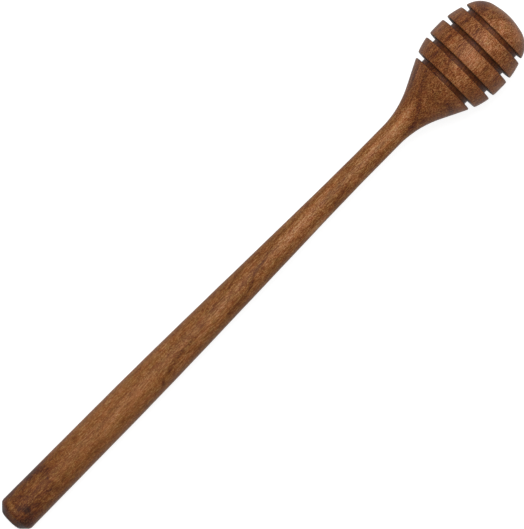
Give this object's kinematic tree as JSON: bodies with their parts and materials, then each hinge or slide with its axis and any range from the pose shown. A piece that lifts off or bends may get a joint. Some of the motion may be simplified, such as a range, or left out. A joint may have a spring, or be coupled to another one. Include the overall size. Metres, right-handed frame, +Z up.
{
  "type": "honey dipper",
  "caption": "Turned wooden honey dipper: a slim tapering handle that flares into a domed head cut by narrow grooves, for lifting and drizzling honey.",
  "frame": {"origin": "on the table, below the middle of the dipper's length as it lies at rest", "axes": "+X along the dipper from the butt of the handle to the tip of the head, +Z up; the turned axis rises 2.2 degrees towards the head, because the dipper lies on its widest ring and the edge of its butt"},
  "size_m": [0.25, 0.0314, 0.0316],
  "materials": {
    "oiled_wood": "oiled, satin"
  },
  "bodies": {
    "root": {"handle": "oiled_wood", "neck": "oiled_wood", "core": "oiled_wood", "ring_1": "oiled_wood", "ring_2": "oiled_wood", "ring_3": "oiled_wood", "tip": "oiled_wood"}
  },
  "joints": []
}
